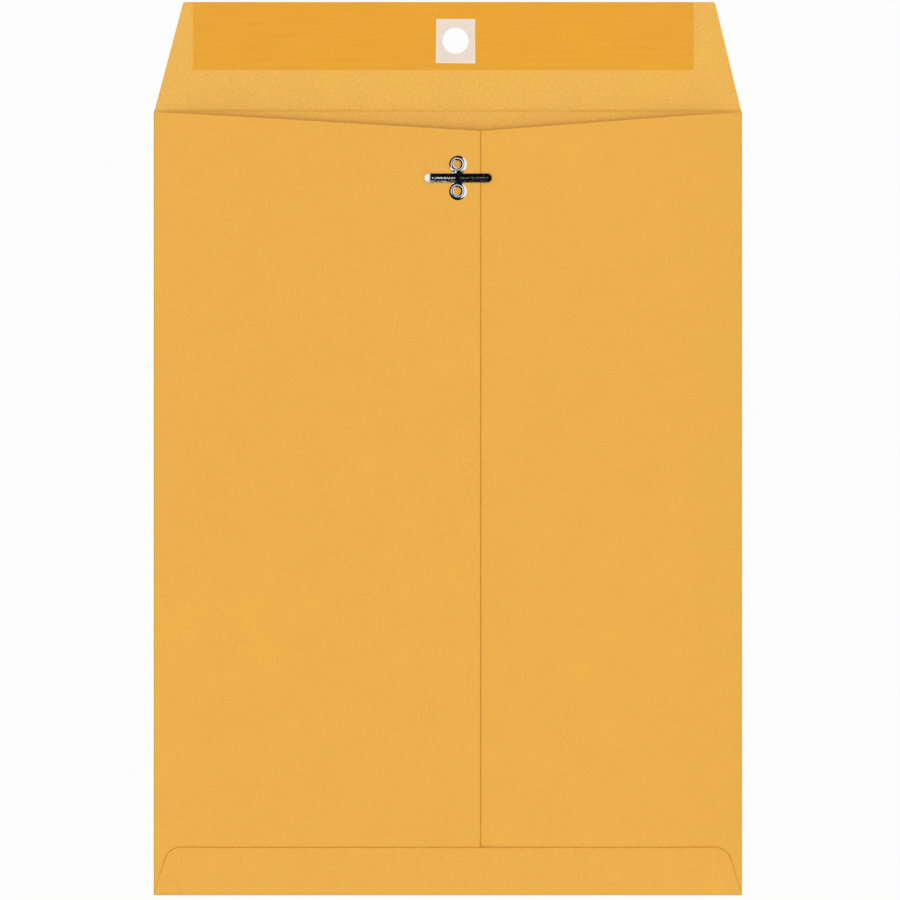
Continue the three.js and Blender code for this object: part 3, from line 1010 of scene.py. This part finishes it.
def pair_tree():
    """The tree that sets two of a shape on a line along Y, a spacing apart."""
    inputs = {"Middle": "Vector", "Spacing": "Float", "Finish": "Material"}
    tree, given = new_tree("Eyelet Pair", inputs)
    line = tree.nodes.new("GeometryNodeMeshLine")
    line.inputs["Count"].default_value = 2
    offset = tree.nodes.new("ShaderNodeCombineXYZ")
    tree.links.new(given["Spacing"], offset.inputs["Y"])
    tree.links.new(offset.outputs[0], line.inputs["Offset"])
    back = tree.nodes.new("ShaderNodeVectorMath")
    back.operation = "MULTIPLY_ADD"
    back.inputs[1].default_value = (0, -0.5, 0)
    tree.links.new(offset.outputs[0], back.inputs[0])
    tree.links.new(given["Middle"], back.inputs[2])
    tree.links.new(back.outputs[0], line.inputs["Start Location"])
    set_out = tree.nodes.new("GeometryNodeInstanceOnPoints")
    tree.links.new(line.outputs[0], set_out.inputs["Points"])
    tree.links.new(given["Geometry"], set_out.inputs["Instance"])
    real = tree.nodes.new("GeometryNodeRealizeInstances")
    tree.links.new(set_out.outputs[0], real.inputs["Geometry"])
    finish = tree.nodes.new("GeometryNodeSetMaterial")
    tree.links.new(real.outputs[0], finish.inputs["Geometry"])
    tree.links.new(given["Finish"], finish.inputs["Material"])
    tree.links.new(finish.outputs[0], tree.nodes.new("NodeGroupOutput").inputs["Geometry"])
    return tree


pair_values = {
    "Middle": (clasp_x, clasp_y, clasp_z),
    "Spacing": EYELET_SPACING,
    "Finish": tin_material,
}
by_nodes(eyelets, pair_tree(), pair_values)

DISC_SHIFT = Vector((0.25, -0.15)) * MM
DISC_SHIFT_START = 2.45 * MM
DISC_SHIFT_EASE = 0.5 * MM
TURN_START = 188.0
TURN_END = 262.0
TURN_EASE = 14.0
TURN_SLOPE = 0.33
FALL_SLOPE = 0.37


def ease(share):
    share = min(1.0, max(0.0, share))
    return share * share * (3 - 2 * share)


def turned_up(from_bore):
    """How far the upper disc's rim rises at a place beside the neck, where it is turned up."""
    angle = math.degrees(math.atan2(from_bore.y, from_bore.x)) % 360
    beside_neck = ease((angle - TURN_START) / TURN_EASE) * ease((TURN_END - angle) / TURN_EASE)
    past_foot = max(0.0, from_bore.length - DISH_FOOT)
    past_dish = max(0.0, from_bore.length - DISH_END)
    return beside_neck * (TURN_SLOPE * past_foot + FALL_SLOPE * past_dish)


for vertex in eyelets.data.vertices:
    end = 1 if vertex.co.y > clasp_y else -1
    bore_y = clasp_y + end * EYELET_SPACING / 2
    from_bore = Vector((vertex.co.x - clasp_x, vertex.co.y - bore_y))
    shift = DISC_SHIFT * ease((from_bore.length - DISC_SHIFT_START) / DISC_SHIFT_EASE)
    vertex.co.x += shift.x
    vertex.co.y += shift.y
    if end == 1:
        vertex.co.z += turned_up(from_bore)
eyelets.data.shade_smooth()
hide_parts("clasp_base")
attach(eyelets, "pocket")

# The neck between the eyelets, in one with the middle of the bar that the prongs carry on.
# It spreads into the bar in small fillets, and its sides are turned up like the flanges' rims.
PRONG_HALF = 1.775 * MM
NECK_HALF = 1.75 * MM
NECK_FILLET = 0.9 * MM
NECK_UNDER_BAR = 0.3 * MM
NECK_UNDER_DISC = 0.5 * MM
NECK_TURN = 0.1 * MM
NECK_LIP = 0.25 * MM
NECK_LIP_WIDTH = 1.2 * MM
NECK_LEVEL = 1.0 * MM
NECK_ROWS = 30
NECK_COLUMNS = 48
METAL_SHARP = math.radians(50)
prong_low, prong_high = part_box("clasp_prong_left")
bar_y = (prong_low.y + prong_high.y) / 2
neck_reach = EYELET_SPACING / 2 - FLANGE + NECK_UNDER_DISC


def closed_strip(name, uppers, lowers, scuffs):
    """A solid between two grids of points, its tin scuffed by an amount at each point."""
    shape = bmesh.new()
    tops = [[shape.verts.new(point) for point in row] for row in uppers]
    feet = [[shape.verts.new(point) for point in row] for row in lowers]
    last = len(tops[0]) - 1
    for i in range(len(tops) - 1):
        for k in range(last):
            shape.faces.new((tops[i][k], tops[i + 1][k], tops[i + 1][k + 1], tops[i][k + 1]))
            shape.faces.new((feet[i][k], feet[i][k + 1], feet[i + 1][k + 1], feet[i + 1][k]))
        for k in (0, last):
            shape.faces.new((tops[i][k], feet[i][k], feet[i + 1][k], tops[i + 1][k]))
    for i in (0, -1):
        for k in range(last):
            shape.faces.new((tops[i][k], tops[i][k + 1], feet[i][k + 1], feet[i][k]))
    bmesh.ops.recalc_face_normals(shape, faces=shape.faces[:])
    mesh = mesh_of(shape, name)
    store(mesh, "scuffed", "FLOAT", scuffs * 2)
    mesh.materials.append(tin_material)
    mesh.shade_smooth()
    mesh.set_sharp_from_angle(angle=METAL_SHARP)
    return placed(name, mesh)


def neck_half(beyond_bar):
    """Half the neck's width, that far beyond the bar."""
    past = NECK_FILLET - min(max(beyond_bar, 0.0), NECK_FILLET)
    return NECK_HALF + NECK_FILLET - math.sqrt(NECK_FILLET**2 - past**2)


for name, end in (("clasp_neck_top", 1), ("clasp_neck_bottom", -1)):
    bar_edge = end * (bar_y - clasp_y) + PRONG_HALF
    uppers, lowers = [], []
    for beyond in steps(-NECK_UNDER_BAR, neck_reach - bar_edge, NECK_ROWS):
        y = clasp_y + end * (bar_edge + beyond)
        lip = NECK_LIP * ease(beyond / NECK_TURN)
        across = steps(-neck_half(beyond), neck_half(beyond), NECK_COLUMNS)
        ups = [lip * ease((abs(x) - NECK_LEVEL) / NECK_LIP_WIDTH) for x in across]
        uppers.append([(clasp_x + x, y, clasp_z + METAL + up) for x, up in zip(across, ups)])
        lowers.append([(clasp_x + x, y, clasp_z) for x in across])
    unscuffed = [0.0] * len(uppers) * len(uppers[0])
    neck = closed_strip(name, uppers, lowers, unscuffed)
    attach(neck, "pocket")

# The two prongs, one stamping with the neck, built in their rest place; the real ones are bent up at
# their roots to close the envelope.
# Each has a full-round tip and a pressed bead, its tin scuffed by use, and springs up a little.
PRONG_ROOT = 2.0 * MM
PRONG_LIFT = 0.05 * MM
BEAD_HALF = 1.0 * MM
BEAD_HEIGHT = 0.2 * MM
BEAD_SLOPE = 0.62 * MM
EDGE_ROUND = 0.05 * MM
TIP_BLUNT = 0.01 * MM
TIP_CURL = 3.6 * MM
CREST_HALF = 0.42 * MM
SIDE_WEAR = 0.4
SIDE_WEAR_FROM = 0.8 * MM
SIDE_WEAR_EASE = 0.4 * MM
PRONG_ROWS = 36
PRONG_COLUMNS = 110
TIP_STEPS = 24
# How each prong springs up, by its slope and a curl at its tip, how far from the tip its bead ends
# and over what length it runs out, and how much its tin is worn.
LEFT_FORM = {
    "slope": 0.024,
    "curl": 0.36 * MM,
    "bead_end": 2.6 * MM,
    "run_out": 0.6 * MM,
    "wear": 0.9,
}
RIGHT_FORM = {
    "slope": 0.018,
    "curl": 0.10 * MM,
    "bead_end": 0.5 * MM,
    "run_out": 3.4 * MM,
    "wear": 0.15,
}


def prong(name, side, reach, form):
    """One prong in its form, from the clasp's middle out to its reach on that side."""
    tip_centre = reach - PRONG_HALF
    straight = steps(0, tip_centre, PRONG_COLUMNS)
    tip = [tip_centre + PRONG_HALF * math.sin(a) for a in steps(0, math.pi / 2, TIP_STEPS)[1:]]

    def half_width(along):
        past = max(0.0, along - tip_centre)
        return math.sqrt(max(PRONG_HALF**2 - past**2, TIP_BLUNT**2))

    def rise(along):
        past = max(0.0, along - (reach - TIP_CURL)) / TIP_CURL
        return form["slope"] * max(0.0, along - PRONG_ROOT) + form["curl"] * past * past

    def bead_left(along):
        return ease((reach - form["bead_end"] - along) / form["run_out"])

    def wear(along, across):
        crest = ease((CREST_HALF - abs(across)) / (CREST_HALF / 2)) * bead_left(along)
        lower_side = SIDE_WEAR * ease((-across - SIDE_WEAR_FROM) / SIDE_WEAR_EASE)
        return form["wear"] * (crest + lower_side) * ease(along / PRONG_ROOT)

    def top(along, across, half):
        bead = BEAD_HEIGHT * ease((BEAD_HALF - abs(across)) / BEAD_SLOPE) * bead_left(along)
        to_edge = min(half - abs(across), reach - along)
        drop = max(0.0, EDGE_ROUND - to_edge)
        return METAL + bead - EDGE_ROUND + math.sqrt(max(0.0, EDGE_ROUND**2 - drop**2))

    uppers, lowers, scuffs = [], [], []
    for along in straight + tip:
        half = half_width(along)
        acrosses = [-half * math.cos(math.pi * k / PRONG_ROWS) for k in range(PRONG_ROWS + 1)]
        x = clasp_x + side * along
        z = clasp_z + PRONG_LIFT + rise(along)
        uppers.append([(x, bar_y + across, z + top(along, across, half)) for across in acrosses])
        lowers.append([(x, bar_y + across, z) for across in acrosses])
        scuffs += [wear(along, across) for across in acrosses]
    return closed_strip(name, uppers, lowers, scuffs)


for name, side, node, body, form in (
    ("clasp_left_blade", -1, "clasp_prong_left", "prong_left", LEFT_FORM),
    ("clasp_right_blade", 1, "clasp_prong_right", "prong_right", RIGHT_FORM),
):
    low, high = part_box(node)
    reach = max(abs(low.x - clasp_x), abs(high.x - clasp_x))
    blade = prong(name, side, reach, form)
    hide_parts(node)
    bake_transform(blade)
